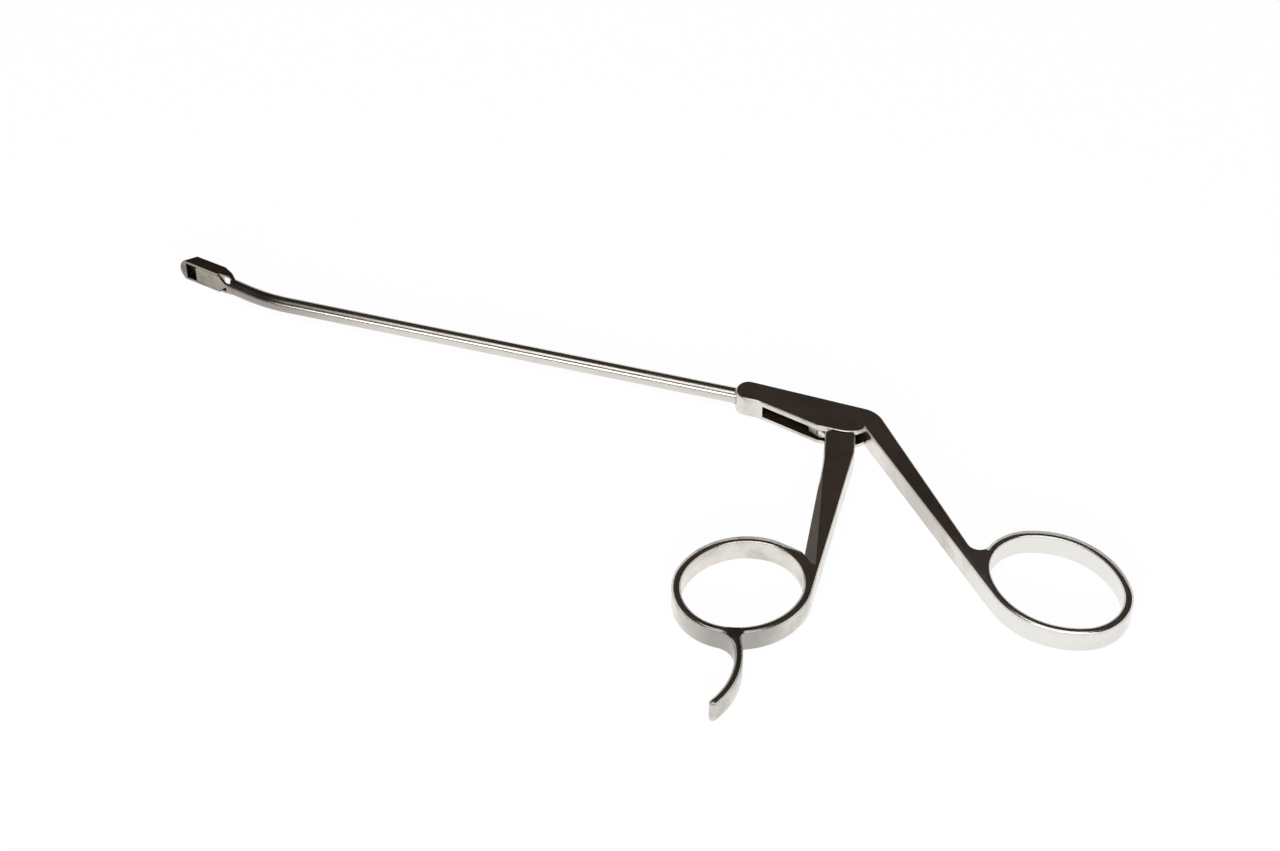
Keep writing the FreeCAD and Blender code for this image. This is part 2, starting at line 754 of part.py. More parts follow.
def front_rod():
    """Short round rod behind the bend's far end, slotted for the drawbar."""
    rod = Part.makeCylinder(rod_diameter / 2, front_rod_end_u - rod_end_gap, jaw_point(front_rod_end_u, 0),
                            Vector(1, 0, 0))
    slot = jaw_box(drawbar_tail_u, front_rod_end_u, drawbar_belly, drawbar_back, drawbar_width / 2)
    return round_bend(rod.cut(slot))


parts = {
    "handle_body": handle_body(),
    "shaft_tube": shaft_tube(),
    "jaw_frame": jaw_frame(),
    "pivot_pin": pivot_pin(),
    "finger_lever": finger_lever(),
    "lever_link_pin": small_pin(link_pin_x, link_pin_y),
    "drive_link": drive_link(),
    "rod_link_pin": small_pin(rod_pin_x, shaft_y),
    "drive_rod": drive_rod(),
    "bend_band": bend_band(),
    "front_rod": front_rod(),
    "cutting_punch": cutting_punch(),
}

os.makedirs("parts", exist_ok=True)
for name, shape in parts.items():
    shape.exportStep("parts/" + name + ".step")
    print(name, "valid", shape.isValid(), "solids", len(shape.Solids), "volume", round(shape.Volume, 2))

closed = closed_link_pin()
swing = link_angle(closed.x, closed.y) - link_angle(link_pin_x, link_pin_y)
print("rod travel", round(rod_travel(), 4), "mm, link swing", round(swing, 4), "degrees")
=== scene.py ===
# %% [markdown]
# # Arthroscopic retrograde forceps
# A hand instrument of stainless steel lying flat on its side on a white table. A fixed handle with a
# thumb ring carries a long thin tube with a bend and a small jaw. A lever with a finger ring pulls a rod in
# the tube, and the rod pulls a little punch back against the tube's end.
#
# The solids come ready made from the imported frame, so this script is about what a solid can't tell: how
# steel that was forged, glass beaded and polished looks, and the plain light that shows it.

# %% Load the frame
import json
import math

import bmesh
import bpy
from mathutils import Euler, Matrix, Vector
from mathutils.bvhtree import BVHTree

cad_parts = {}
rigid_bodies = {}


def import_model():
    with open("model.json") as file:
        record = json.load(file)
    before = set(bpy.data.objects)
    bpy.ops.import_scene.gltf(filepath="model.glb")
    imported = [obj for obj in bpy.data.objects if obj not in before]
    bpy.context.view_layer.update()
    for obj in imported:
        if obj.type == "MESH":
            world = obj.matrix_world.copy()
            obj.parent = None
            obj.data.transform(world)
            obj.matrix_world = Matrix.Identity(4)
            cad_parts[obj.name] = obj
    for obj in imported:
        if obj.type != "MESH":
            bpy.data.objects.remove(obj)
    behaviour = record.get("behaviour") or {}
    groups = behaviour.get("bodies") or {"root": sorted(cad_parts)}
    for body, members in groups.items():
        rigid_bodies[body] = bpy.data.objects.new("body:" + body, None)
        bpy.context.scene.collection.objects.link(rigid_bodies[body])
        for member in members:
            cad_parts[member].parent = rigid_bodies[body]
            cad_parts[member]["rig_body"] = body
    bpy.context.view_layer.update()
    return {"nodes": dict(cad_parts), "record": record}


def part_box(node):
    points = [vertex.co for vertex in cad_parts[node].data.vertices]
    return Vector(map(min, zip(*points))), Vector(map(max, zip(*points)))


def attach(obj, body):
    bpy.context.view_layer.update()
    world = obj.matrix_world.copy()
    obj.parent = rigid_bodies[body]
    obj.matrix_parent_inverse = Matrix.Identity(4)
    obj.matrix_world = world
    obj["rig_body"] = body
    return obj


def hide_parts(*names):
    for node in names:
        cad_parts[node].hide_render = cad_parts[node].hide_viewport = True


MM = 0.001
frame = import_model()
nodes = frame["nodes"]
print("nodes:", ", ".join(sorted(nodes)))

# %% [markdown]
# ## Camera
# The photograph was taken from the front and above, with the lens tilted 45 degrees down. The lens is long,
# so the far ring is only a little smaller than the near one. The camera's place is given in the
# instrument's own frame, whose X runs along the tube, so the camera is turned about 16 degrees to it.

# %% Camera
CAMERA_PLACE = Vector((84.61, -453.55, 461.03)) * MM
CAMERA_LOOK = Vector((-0.19659, 0.67923, -0.70711))
FOCAL_PIXELS = 3000.0
PHOTO_WIDTH = 1280.0
SENSOR = 36.0
CLIP_START = 0.01
CLIP_END = 50


def add_camera():
    data = bpy.data.cameras.new("camera")
    data.sensor_width = SENSOR
    data.lens = FOCAL_PIXELS / PHOTO_WIDTH * SENSOR
    data.clip_start = CLIP_START
    data.clip_end = CLIP_END
    camera = bpy.data.objects.new("camera", data)
    camera.location = CAMERA_PLACE
    camera.rotation_euler = CAMERA_LOOK.to_track_quat("-Z", "Y").to_euler()
    bpy.context.scene.collection.objects.link(camera)
    bpy.context.scene.camera = camera
    return camera


camera = add_camera()
print("lens in mm:", round(camera.data.lens, 2))

# %% [markdown]
# ## Node helpers
# A finish is a small tree of shader nodes. These four helpers keep the trees short to read: one adds a
# node and sets its plain sockets, one adds a node that does a sum, one makes a colour ramp, and one starts
# an empty material.

# %% Node helpers
def add_node(tree, kind, **sockets):
    node = tree.nodes.new(kind)
    for name, value in sockets.items():
        node.inputs[name.replace("_", " ")].default_value = value
    return node


def add_sum(tree, kind, operation):
    node = tree.nodes.new(kind)
    node.operation = operation
    return node


def add_ramp(tree, stops):
    """Colour ramp from (place, grey or colour) stops."""
    ramp = tree.nodes.new("ShaderNodeValToRGB")
    while len(ramp.color_ramp.elements) < len(stops):
        ramp.color_ramp.elements.new(0.5)
    for element, (place, colour) in zip(ramp.color_ramp.elements, stops):
        element.position = place
        grey = isinstance(colour, float)
        element.color = (colour, colour, colour, 1) if grey else (*colour, 1)
    return ramp


def new_material(name):
    material = bpy.data.materials.new(name)
    material.use_nodes = True
    material.node_tree.nodes.clear()
    return material, material.node_tree


# %% [markdown]
# ## Table and room
# The table is white and the photograph is exposed until it burns out. Here the table glows white for what
# the camera and the mirror-like steel see of it, mixed with a little of its lit surface, so the soft
# contact shadow under the steel stays. Over the table hangs a dark ceiling: in the photograph the steel's
# upward faces are nearly black, because they mirror an unlit room, while its sides mirror the white table.

# %% Table
SHEET_HALF = 8.0
TABLE_HEIGHT = -0.00002
TABLE_WHITE = (0.86, 0.86, 0.86, 1)
GLOW_SHARE = 0.95


def white_table_material():
    material, tree = new_material("white_table")
    lit = add_node(tree, "ShaderNodeBsdfDiffuse", Color=TABLE_WHITE)
    glow = add_node(tree, "ShaderNodeEmission", Color=(1, 1, 1, 1), Strength=1.0)
    path = tree.nodes.new("ShaderNodeLightPath")
    seen = add_sum(tree, "ShaderNodeMath", "ADD")
    seen_all = add_sum(tree, "ShaderNodeMath", "ADD")
    share = add_sum(tree, "ShaderNodeMath", "MULTIPLY")
    share.inputs[1].default_value = GLOW_SHARE
    mix = tree.nodes.new("ShaderNodeMixShader")
    out = tree.nodes.new("ShaderNodeOutputMaterial")
    link = tree.links.new
    link(path.outputs["Is Camera Ray"], seen.inputs[0])
    link(path.outputs["Is Glossy Ray"], seen.inputs[1])
    link(seen.outputs[0], seen_all.inputs[0])
    link(path.outputs["Is Transmission Ray"], seen_all.inputs[1])
    link(seen_all.outputs[0], share.inputs[0])
    link(share.outputs[0], mix.inputs[0])
    link(lit.outputs[0], mix.inputs[1])
    link(glow.outputs[0], mix.inputs[2])
    link(mix.outputs[0], out.inputs[0])
    return material


def add_sheet(name, half, height, material):
    mesh = bpy.data.meshes.new(name)
    corners = [(-half, -half, height), (half, -half, height), (half, half, height), (-half, half, height)]
    mesh.from_pydata(corners, [], [(0, 1, 2, 3)])
    mesh.materials.append(material)
    sheet = bpy.data.objects.new(name, mesh)
    bpy.context.scene.collection.objects.link(sheet)
    return sheet


table = add_sheet("table", SHEET_HALF, TABLE_HEIGHT, white_table_material())
print(table.name, "half width in m:", SHEET_HALF)

# %% Dark ceiling
CEILING_HEIGHT = 1.25
WINDOW_COLOUR = (0.75, 0.74, 0.71)
ROOM_COLOUR = (0.040, 0.031, 0.027)
WINDOW_X = -3.8
ROOM_X = -1.6


def dark_ceiling_material():
    """Brownish dark room that grows light towards the window side, at -X."""
    material, tree = new_material("dark_ceiling")
    place = tree.nodes.new("ShaderNodeTexCoord")
    split = tree.nodes.new("ShaderNodeSeparateXYZ")
    side = add_node(tree, "ShaderNodeMapRange", From_Min=WINDOW_X, From_Max=ROOM_X)
    tone = add_ramp(tree, [(0.0, WINDOW_COLOUR), (1.0, ROOM_COLOUR)])
    glow = add_node(tree, "ShaderNodeEmission", Strength=1.0)
    out = tree.nodes.new("ShaderNodeOutputMaterial")
    link = tree.links.new
    link(place.outputs["Object"], split.inputs[0])
    link(split.outputs["X"], side.inputs["Value"])
    link(side.outputs[0], tone.inputs["Fac"])
    link(tone.outputs["Color"], glow.inputs["Color"])
    link(glow.outputs[0], out.inputs[0])
    return material


ceiling = add_sheet("ceiling", SHEET_HALF, CEILING_HEIGHT, dark_ceiling_material())
print(ceiling.name, "height in m:", CEILING_HEIGHT)

# %% [markdown]
# ## World and lamps
# Steel shows its surroundings more than a colour of its own, so the lamps are split by what they are for.
# The front lamp and the fill lamp light only the table, and are left out of every mirror image: seen from
# behind, the flat tops would mirror the low front lamp and burn out. The steel mirrors a softbox that
# stands higher in front, and a faint lamp overhead.

# %% World and lamps
LIT_PLACE = (-0.045, -0.035, 0.0)


def add_lamp(name, place, width, height, power, mirrored=True):
    data = bpy.data.lights.new(name, "AREA")
    data.shape = "RECTANGLE"
    data.size = width
    data.size_y = height
    data.energy = power
    lamp = bpy.data.objects.new(name, data)
    lamp.location = place
    lamp.rotation_euler = (Vector(LIT_PLACE) - Vector(place)).to_track_quat("-Z", "Y").to_euler()
    lamp.visible_camera = False
    lamp.visible_glossy = mirrored
    bpy.context.scene.collection.objects.link(lamp)
    return lamp


world = bpy.data.worlds.new("white_room")
world.use_nodes = True
sky = world.node_tree.nodes["Background"]
sky.inputs["Color"].default_value = (1, 1, 1, 1)
sky.inputs["Strength"].default_value = 1.0
bpy.context.scene.world = world
bpy.context.scene.view_settings.view_transform = "Standard"

lamps = [
    add_lamp("overhead_lamp", (-0.045, -0.27, 1.15), width=0.9, height=0.6, power=2.6),
    add_lamp("front_lamp", (0.30, -1.45, 0.44), width=2.2, height=0.55, power=26, mirrored=False),
    add_lamp("fill_lamp", (-0.045, 0.02, 1.15), width=0.8, height=0.8, power=7, mirrored=False),
    add_lamp("softbox", (0.25, -1.25, 0.86), width=2.2, height=0.45, power=12),
]
print("lamps:", ", ".join(lamp.name for lamp in lamps))

# %% [markdown]
# ## Bare steel
# The handle and the lever are forged, ground and glass beaded, the tube and the rod are drawn, and the jaw
# and the punch are hardened brown. One material makes them all from a few numbers: an even tone with a very
# fine grain, faint cloudy patches where hands and washing have dulled it, and hairline scratches. Three
# noises do this: a fine one for the grain in the bump, a broad one for the clouds in colour and gloss, and
# one stretched along the tube for the hairlines.
#
# Soft round spots give some places another tone. The thumb ring is lighter all over, the near side of the
# finger ring and the root of the arm to the thumb ring are darker, and the tube's end is darker. The number
# "inner" on a face turns it dark brown, as painted shade, and matt, for the hollows further down.

# %% Steel finish
CLOUD_SCALE = 150.0
# Places on the cloud noise, which runs from 0 to 1, and how strongly they change tone and roughness.
DULL_AT = 0.34
EVEN_AT = 0.52
CLEAR_AT = 0.66
CLEAR_SHARE = 0.4
ROUGH_AT = 0.35
ROUGHER = 1.3
SMOOTH_AT = 0.65
SMOOTHER = 0.85
GRAIN_HEIGHT = 0.04 * MM
HAIR_HEIGHT = 0.03 * MM
HAIR_STRETCH = (0.03, 1.0, 1.0)
# Painted shade for the hollows: how far faces marked "inner" are darkened, and how rough they are made.
HOLLOW_SHADE_TINT = (0.16, 0.13, 0.11)
HOLLOW_ROUGH = 0.5


def add_relief(tree, place, grain, grain_depth, hair, hair_depth):
    """Bump nodes for an even grain and for hairlines along X. `grain` and `hair` are widths in mm."""
    fine = add_node(tree, "ShaderNodeTexNoise", Scale=1 / MM / grain, Detail=3.0, Roughness=0.7)
    drawn = add_node(tree, "ShaderNodeMapping", Scale=HAIR_STRETCH)
    lines = add_node(tree, "ShaderNodeTexNoise", Scale=1 / MM / hair, Detail=2.0, Roughness=0.6)
    grain_bump = add_node(tree, "ShaderNodeBump", Strength=grain_depth, Distance=GRAIN_HEIGHT)
    hair_bump = add_node(tree, "ShaderNodeBump", Strength=hair_depth, Distance=HAIR_HEIGHT)
    link = tree.links.new
    link(place.outputs["Object"], fine.inputs["Vector"])
    link(place.outputs["Object"], drawn.inputs["Vector"])
    link(drawn.outputs["Vector"], lines.inputs["Vector"])
    link(fine.outputs["Fac"], grain_bump.inputs["Height"])
    link(lines.outputs["Fac"], hair_bump.inputs["Height"])
    link(grain_bump.outputs["Normal"], hair_bump.inputs["Normal"])
    return hair_bump


def add_spots(tree, place, tone, spots):
    """Blend each spot's colour over the tone, by the distance from the spot's middle."""
    link = tree.links.new
    for middle, reach, core, colour in spots:
        away = add_sum(tree, "ShaderNodeVectorMath", "DISTANCE")
        away.inputs[1].default_value = middle
        near = add_node(tree, "ShaderNodeMapRange", From_Min=reach, From_Max=core)
        blend = add_node(tree, "ShaderNodeMixRGB", Color2=(*colour, 1))
        link(place.outputs["Object"], away.inputs[0])
        link(away.outputs["Value"], near.inputs["Value"])
        link(near.outputs[0], blend.inputs["Fac"])
        link(tone.outputs["Color"], blend.inputs["Color1"])
        tone = blend
    return tone


def steel_material(name, colour, rough, clouds, grain, grain_depth, hair, hair_depth, spots=()):
    """Bare steel whose tone dips by the share `clouds` in its dull patches."""
    material, tree = new_material(name)
    place = tree.nodes.new("ShaderNodeTexCoord")
    cloud = add_node(tree, "ShaderNodeTexNoise", Scale=CLOUD_SCALE, Detail=5.0, Roughness=0.62)
    dull = tuple(c * (1 - clouds) for c in colour)
    clear = tuple(min(1.0, c * (1 + CLEAR_SHARE * clouds)) for c in colour)
    tone = add_ramp(tree, [(DULL_AT, dull), (EVEN_AT, colour), (CLEAR_AT, clear)])
    gloss = add_ramp(tree, [(ROUGH_AT, rough * ROUGHER), (SMOOTH_AT, rough * SMOOTHER)])
    spotted_tone = add_spots(tree, place, tone, spots)
    relief = add_relief(tree, place, grain, grain_depth, hair, hair_depth)
    inner = tree.nodes.new("ShaderNodeAttribute")
    inner.attribute_name = "inner"
    # Painted shade: faces marked "inner" take this darkened copy of the tone.
    painted_shade_colour = tuple(c * tint for c, tint in zip(colour, HOLLOW_SHADE_TINT))
    painted_shade_mix = add_node(tree, "ShaderNodeMixRGB", Color2=(*painted_shade_colour, 1))
    matt = add_node(tree, "ShaderNodeMixRGB", Color2=(HOLLOW_ROUGH, HOLLOW_ROUGH, HOLLOW_ROUGH, 1))
    skin = add_node(tree, "ShaderNodeBsdfPrincipled", Metallic=1.0)
    out = tree.nodes.new("ShaderNodeOutputMaterial")
    link = tree.links.new
    link(place.outputs["Object"], cloud.inputs["Vector"])
    link(cloud.outputs["Fac"], tone.inputs["Fac"])
    link(cloud.outputs["Fac"], gloss.inputs["Fac"])
    link(inner.outputs["Fac"], painted_shade_mix.inputs["Fac"])
    link(inner.outputs["Fac"], matt.inputs["Fac"])
    link(spotted_tone.outputs["Color"], painted_shade_mix.inputs["Color1"])
    link(gloss.outputs["Color"], matt.inputs["Color1"])
    link(painted_shade_mix.outputs["Color"], skin.inputs["Base Color"])
    link(matt.outputs["Color"], skin.inputs["Roughness"])
    link(relief.outputs["Normal"], skin.inputs["Normal"])
    link(skin.outputs[0], out.inputs[0])
    return material


# %% Finishes
# A spot is its middle, how far it reaches and how far it stays full, all in metres, and its colour.
# The thumb ring's spot is lighter than the steel around it, and the other three are darker.
THUMB_RING_SPOT = ((0.0522, -0.0354, 0.00275), 0.026, 0.013, (0.83, 0.815, 0.78))
FINGER_RING_SPOT = ((-0.0077, -0.0675, 0.00275), 0.014, 0.005, (0.40, 0.385, 0.36))
ARM_ROOT_SPOT = ((0.0225, -0.0185, 0.00275), 0.017, 0.004, (0.56, 0.53, 0.48))
TUBE_END_SPOT = ((-0.141, 0.0035, 0.00275), 0.036, 0.009, (0.34, 0.32, 0.29))

LOOKS = {
    "satin_steel": dict(
        colour=(0.72, 0.685, 0.63), rough=0.2, clouds=0.3, grain=0.5, grain_depth=0.05, hair=1.2,
        hair_depth=0.04, spots=(THUMB_RING_SPOT, FINGER_RING_SPOT, ARM_ROOT_SPOT)),
    "tube_steel": dict(
        colour=(0.70, 0.67, 0.62), rough=0.2, clouds=0.04, grain=0.4, grain_depth=0.01, hair=0.6,
        hair_depth=0.01, spots=(TUBE_END_SPOT,)),
    "jaw_steel": dict(
        colour=(0.33, 0.31, 0.265), rough=0.22, clouds=0.4, grain=0.4, grain_depth=0.05, hair=0.8,
        hair_depth=0.05),
    "punch_steel": dict(
        colour=(0.33, 0.30, 0.255), rough=0.24, clouds=0.45, grain=0.4, grain_depth=0.05, hair=0.8,
        hair_depth=0.05),
    "pin_steel": dict(
        colour=(0.74, 0.71, 0.66), rough=0.18, clouds=0.1, grain=0.4, grain_depth=0.03, hair=0.8,
        hair_depth=0.03),
    # The rod's tone is darker than the drawn tube's: painted shade, for the slot it lies in.
    "rod_steel": dict(
        colour=(0.47, 0.45, 0.41), rough=0.3, clouds=0.45, grain=0.4, grain_depth=0.04, hair=0.6,
        hair_depth=0.08),
}
finishes = {name: steel_material(name, **look) for name, look in LOOKS.items()}
print("finishes:", ", ".join(finishes))

# %% [markdown]
# ## The jaw's own directions
# The tube bends near its end, and the jaw follows the bend. A place in the jaw is easier to tell once the
# bend is turned straight again: then it has a length beyond the bend, a height over the shaft's axis and a
# side.

# %% The jaw's own directions
SHAFT_Y = 1.4 * MM
MIDDLE = 2.75 * MM
BEND_START_X = -129.5 * MM
BEND_RADIUS = 40.0 * MM
BEND_ANGLE = math.radians(15.0)


def jaw_place(place):
    """Length beyond the bend, height over the shaft's axis and side of a place in the jaw."""
    turned = Vector((place.x - BEND_START_X, place.y - SHAFT_Y - BEND_RADIUS, 0))
    turned.rotate(Euler((0, 0, BEND_ANGLE)))
    return -turned.x, turned.y + BEND_RADIUS, place.z - MIDDLE


def jaw_point(along, height, side):
    """The opposite of jaw_place: a place in the frame from length, height and side."""
    turned = Vector((-along, height - BEND_RADIUS, 0))
    turned.rotate(Euler((0, 0, -BEND_ANGLE)))
    return Vector((turned.x + BEND_START_X, turned.y + SHAFT_Y + BEND_RADIUS, side + MIDDLE))


jaw_corner = jaw_place(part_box("jaw_frame")[0])
print("low corner of the jaw's box, straightened, in mm:", [round(v / MM, 2) for v in jaw_corner])

# %% [markdown]
# ## Hollows
# The slot between the cheeks and the channel in the jaw lie in shade, so those faces get painted shade:
# they are darkened to brown, and made dull. Each skin's faces therefore carry a number, 0 outside and 1 in
# a hollow, that the finish reads. Whether a face lies in a hollow is told from its middle: in the handle by
# its height and length, and in the jaw after turning the jaw's bend straight again. The handle's back and
# the jaw's belly lie within the same limits but lie open, and are told apart by the way they face.

# %% Hollows
SLOT_HALF_WIDTH = 1.6 * MM
SLOT_FRONT_X = -18.6 * MM
SLOT_REAR_X = -3 * MM
BACK_FACING = 0.5
CHANNEL_START = 4.7 * MM
CHANNEL_END = 16.5 * MM
CHANNEL_HALF_WIDTH = 2.4 * MM
CHANNEL_LOW = -1.3 * MM
CHANNEL_HIGH = 1.2 * MM
BELLY_FACING = -0.9


def in_slot(face):
    place = face.calc_center_median()
    back = face.normal.y > BACK_FACING
    return abs(place.z - MIDDLE) < SLOT_HALF_WIDTH and SLOT_FRONT_X < place.x < SLOT_REAR_X and not back


def in_channel(face):
    along, height, side = jaw_place(face.calc_center_median())
    belly = face.normal.y < BELLY_FACING and height < 0
    lengthwise = CHANNEL_START < along < CHANNEL_END
    across = abs(side) < CHANNEL_HALF_WIDTH and CHANNEL_LOW < height < CHANNEL_HIGH
    return lengthwise and across and not belly


def in_hollow(node_name, face):
    if node_name == "handle_body":
        return in_slot(face)
    if node_name == "jaw_frame":
        return in_channel(face)
    return False


# %% [markdown]
# ## Crowned rims
# On the real forging the rims of the rings and of the hook are rounded over by hand, while the wide faces
# of the body and the lever are ground flat right to a small bevel. The solid has only the bevel. More
# geometry could round the rims, but their shine is what the eye reads, so the skin bends its normals: on
# the bevel they swing from the flat face to the side, and where the face is narrow they lean outward
# across it as well, as on a crown. The rings' far arcs are rubbed down most and lean outward as a whole,
# so that they mirror the bright table while the near and side arcs stay dark like the room.

# %% Faces by the way they lean
FLAT = 0.9999
BEVEL_LOW = 0.68
BEVEL_HIGH = 0.73
FACET_LOW = 0.75


def is_flat(face):
    return abs(face.normal.z) > FLAT


def is_bevel(face):
    return BEVEL_LOW < abs(face.normal.z) < BEVEL_HIGH


def is_facet(face):
    """A broad slanting face, which leans less than a bevel does."""
    return FACET_LOW < abs(face.normal.z) < FLAT


# %% Rim tilts
CROWN = math.radians(27)
CROWN_FULL = 1.4 * MM
CROWN_NONE = 2.8 * MM
FAR_LEAN = math.radians(26)
RING_REACH = 17.2 * MM
# The thumb ring, then the finger ring.
RING_MIDDLES = (Vector((52.2, -35.4, 0)) * MM, Vector((-9.3, -53.9, 0)) * MM)
HEIGHT_SLACK = 0.01 * MM
RAY_START = 0.02 * MM
RAY_DEPTH = 0.03 * MM


def narrow_share(width):
    return min(1.0, max(0.0, (CROWN_NONE - width) / (CROWN_NONE - CROWN_FULL)))


def rim_tilt(place, way, share):
    """Direction and angle of a rim's bent normal, from the way out of the face."""
    for middle in RING_MIDDLES:
        spoke = Vector((place.x - middle.x, place.y - middle.y, 0))
        if spoke.length < RING_REACH:
            side = 1 if way.dot(spoke) > 0 else -1
            outward = way * side
            return outward, share * (FAR_LEAN * max(0.0, outward.y) + side * CROWN)
    return way, share * CROWN


def rim_directions(mesh, normals, low, high):
    """For each vertex on a flat face's rim: the way out of the face, from its bevel's normals."""
    ways = {}
    for face in filter(is_bevel, mesh.polygons):
        for corner in face.loop_indices:
            vertex = mesh.loops[corner].vertex_index
            height = mesh.vertices[vertex].co.z
            if min(abs(height - low), abs(height - high)) < HEIGHT_SLACK:
                out = Vector((normals[corner].x, normals[corner].y, 0)).normalized()
                ways[vertex] = ways.get(vertex, Vector()) + out
    return {vertex: way.normalized() for vertex, way in ways.items() if way.length > 0}


def rim_tilts(mesh, ways, low, high):
    """The tilt at each rim vertex. A ray across the face tells how wide the face is there."""
    tree = BVHTree.FromPolygons([v.co for v in mesh.vertices], [list(f.vertices) for f in mesh.polygons])
    tilts = {}
    for vertex, way in ways.items():
        place = mesh.vertices[vertex].co
        start = place.copy()
        start.z = min(max(start.z, low + RAY_DEPTH), high - RAY_DEPTH)
        hit = tree.ray_cast(start - way * RAY_START, -way)
        share = narrow_share(hit[3]) if hit[0] else 0.0
        tilts[vertex] = rim_tilt(place, way, share)
    return tilts


# %% Crowned rims
def bent_normal(face, normal, tilt):
    """A corner's new normal on a flat face or a bevel. `tilt` is None away from the rims."""
    up = Vector((0, 0, math.copysign(1, face.normal.z)))
    if tilt:
        direction, angle = tilt
        return up * math.cos(angle) + direction * math.sin(angle)
    if is_bevel(face):
        return Vector((normal.x, normal.y, 0)).normalized()
    return up


def crown_rims(mesh):
    """Bend the normals at the rims, and give the number of vertices on them."""
    low = min(v.co.z for v in mesh.vertices)
    high = max(v.co.z for v in mesh.vertices)
    normals = [Vector(n.vector) for n in mesh.corner_normals]
    tilts = rim_tilts(mesh, rim_directions(mesh, normals, low, high), low, high)
    for face in mesh.polygons:
        for corner in face.loop_indices:
            if is_facet(face):
                normals[corner] = face.normal.copy()
            elif is_flat(face) or is_bevel(face):
                tilt = tilts.get(mesh.loops[corner].vertex_index)
                normals[corner] = bent_normal(face, normals[corner], tilt)
    mesh.normals_split_custom_set([tuple(n) for n in normals])
    return len(tilts)


# %% [markdown]
# ## Smooth skins
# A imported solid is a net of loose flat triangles. On matt things that hardly shows, but a polished tube
# mirrors the room, and every flat facet would flash on its own. So each piece gets a skin: a copy of its
# mesh with the doubled corners merged and the shading smoothed wherever neighbouring faces meet at a
# shallow angle. Edges that are sharp on the real piece stay sharp.

# %% Smooth skins
SMOOTH_ANGLE = math.radians(32)
MERGE_DISTANCE = 1e-7
CROWNED = ("handle_body", "finger_lever")


def smooth_skin(node_name, slot_name):
    node = nodes[node_name]
    mesh = node.data.copy()
    mesh.name = node_name + "_skin"
    work = bmesh.new()
    work.from_mesh(mesh)
    bmesh.ops.remove_doubles(work, verts=work.verts, dist=MERGE_DISTANCE)
    for edge in work.edges:
        edge.smooth = len(edge.link_faces) == 2 and edge.calc_face_angle(0) < SMOOTH_ANGLE
    inner = work.faces.layers.float.new("inner")
    for face in work.faces:
        face.smooth = True
        face[inner] = float(in_hollow(node_name, face))
    work.to_mesh(mesh)
    work.free()
    mesh.materials.clear()
    mesh.materials.append(finishes[slot_name])
    if node_name in CROWNED:
        print(node_name, "crowned rim vertices", crown_rims(mesh))
    skin = bpy.data.objects.new(node_name + "_skin", mesh)
    bpy.context.scene.collection.objects.link(skin)
    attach(skin, node["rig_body"])
    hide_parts(node_name)
    return skin


slots = {part["node"]: part["material_slot"] for part in frame["record"]["subparts"]}
skins = {name: smooth_skin(name, slot) for name, slot in slots.items()}
for name, skin in skins.items():
    print(name, "faces", len(skin.data.polygons), "finish", slots[name])

# %% [markdown]
# ## Pocket in the jaw's tip
# In front of the punch the channel ends in a small pocket. On the real jaw a thin web closes the pocket
# towards the leaning facet of the tip, and the pocket lies in shade. The web is a thin plate across the
# channel, given in the straightened jaw's lengths, heights and sides and turned with the jaw's bend. Its
# faces are painted dark brown as shade.

# %% Pocket in the jaw's tip
WEB_ALONG = (14.9 * MM, 16.4 * MM)
WEB_HEIGHT = (0.42 * MM, 0.52 * MM)
WEB_SIDES = (2.2 * MM, -2.2 * MM)
# The plate's corners count by side, then height, then length, and its faces point outward.
PLATE_FACES = ((0, 1, 3, 2), (4, 6, 7, 5), (0, 4, 5, 1), (2, 3, 7, 6), (0, 2, 6, 4), (1, 5, 7, 3))


def add_pocket_web():
    corners = [jaw_point(a, h, s) for a in WEB_ALONG for h in WEB_HEIGHT for s in WEB_SIDES]
    mesh = bpy.data.meshes.new("pocket_web")
    mesh.from_pydata(corners, [], PLATE_FACES)
    # Every face of the web is marked "inner", so it carries the painted shade of the hollows.
    inner = mesh.attributes.new("inner", "FLOAT", "FACE")
    inner.data.foreach_set("value", [1.0] * len(PLATE_FACES))
    mesh.materials.append(finishes["jaw_steel"])
    web = bpy.data.objects.new("pocket_web", mesh)
    bpy.context.scene.collection.objects.link(web)
    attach(web, nodes["jaw_frame"]["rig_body"])
    return web


web = add_pocket_web()
print("pocket web faces", len(web.data.polygons))

# %% [markdown]
# ## Brazed joint
# The tube is brazed into the handle's nose, and brazing leaves a thin rounded bead where the two meet. A
# bead is a small circle carried round a larger one, so a Geometry Nodes tree sweeps it: change the tube and
# only two numbers change. The tree is built here, its inputs are set by name, and its result is turned
# into a plain mesh.

# %% Bead tree
SEAM_STEPS = 64
PROFILE_STEPS = 12


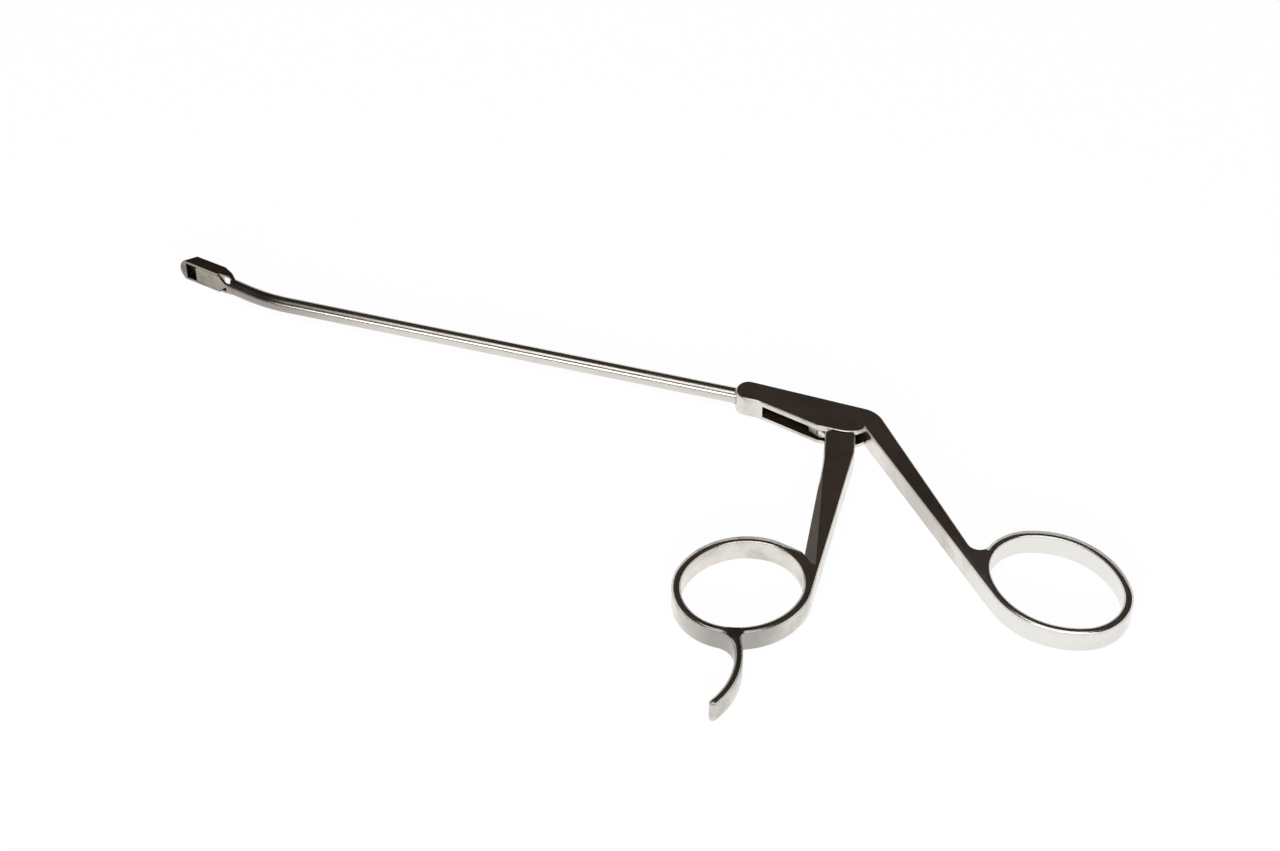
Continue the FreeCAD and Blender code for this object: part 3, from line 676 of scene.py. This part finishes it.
def bead_tree():
    tree = bpy.data.node_groups.new("brazed_bead", "GeometryNodeTree")
    tree.interface.new_socket("Seam Radius", in_out="INPUT", socket_type="NodeSocketFloat")
    tree.interface.new_socket("Bead Radius", in_out="INPUT", socket_type="NodeSocketFloat")
    tree.interface.new_socket("Finish", in_out="INPUT", socket_type="NodeSocketMaterial")
    tree.interface.new_socket("Geometry", in_out="OUTPUT", socket_type="NodeSocketGeometry")
    start = tree.nodes.new("NodeGroupInput")
    seam = add_node(tree, "GeometryNodeCurvePrimitiveCircle", Resolution=SEAM_STEPS)
    profile = add_node(tree, "GeometryNodeCurvePrimitiveCircle", Resolution=PROFILE_STEPS)
    sweep = tree.nodes.new("GeometryNodeCurveToMesh")
    smooth = tree.nodes.new("GeometryNodeSetShadeSmooth")
    real = tree.nodes.new("GeometryNodeRealizeInstances")
    paint = tree.nodes.new("GeometryNodeSetMaterial")
    end = tree.nodes.new("NodeGroupOutput")
    link = tree.links.new
    link(start.outputs["Seam Radius"], seam.inputs["Radius"])
    link(start.outputs["Bead Radius"], profile.inputs["Radius"])
    link(seam.outputs["Curve"], sweep.inputs["Curve"])
    link(profile.outputs["Curve"], sweep.inputs["Profile Curve"])
    link(sweep.outputs["Mesh"], smooth.inputs["Geometry"])
    link(smooth.outputs["Geometry"], real.inputs["Geometry"])
    link(real.outputs["Geometry"], paint.inputs["Geometry"])
    link(start.outputs["Finish"], paint.inputs["Material"])
    link(paint.outputs["Geometry"], end.inputs["Geometry"])
    return tree


# %% Bead at the nose
TUBE_RADIUS = 1.75 * MM
BEAD_RADIUS = 0.24 * MM
BEAD_SINK = 0.05 * MM


def add_bead(name, middle, seam_radius, bead_radius, slot_name, node_name):
    """A bead round the X axis through `middle`, as a plain mesh with its object at the origin."""
    maker = bpy.data.objects.new(name + "_maker", bpy.data.meshes.new(name + "_maker"))
    bpy.context.scene.collection.objects.link(maker)
    modifier = maker.modifiers.new("bead", "NODES")
    modifier.node_group = bead_tree()
    values = {"Seam Radius": seam_radius, "Bead Radius": bead_radius, "Finish": finishes[slot_name]}
    for item in modifier.node_group.interface.items_tree:
        if item.in_out == "INPUT":
            modifier[item.identifier] = values[item.name]
    bpy.context.view_layer.update()
    mesh = bpy.data.meshes.new_from_object(maker.evaluated_get(bpy.context.evaluated_depsgraph_get()))
    maker.modifiers.remove(modifier)
    bpy.data.objects.remove(maker)
    mesh.transform(Matrix.Translation(middle) @ Matrix.Rotation(math.radians(90), 4, "Y"))
    bead = bpy.data.objects.new(name, mesh)
    bpy.context.scene.collection.objects.link(bead)
    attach(bead, nodes[node_name]["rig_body"])
    return bead


nose_end = Vector((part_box("handle_body")[0][0] + BEAD_SINK, SHAFT_Y, MIDDLE))
bead = add_bead("nose_bead", nose_end, TUBE_RADIUS, BEAD_RADIUS, "tube_steel", "handle_body")
print("nose bead faces", len(bead.data.polygons))
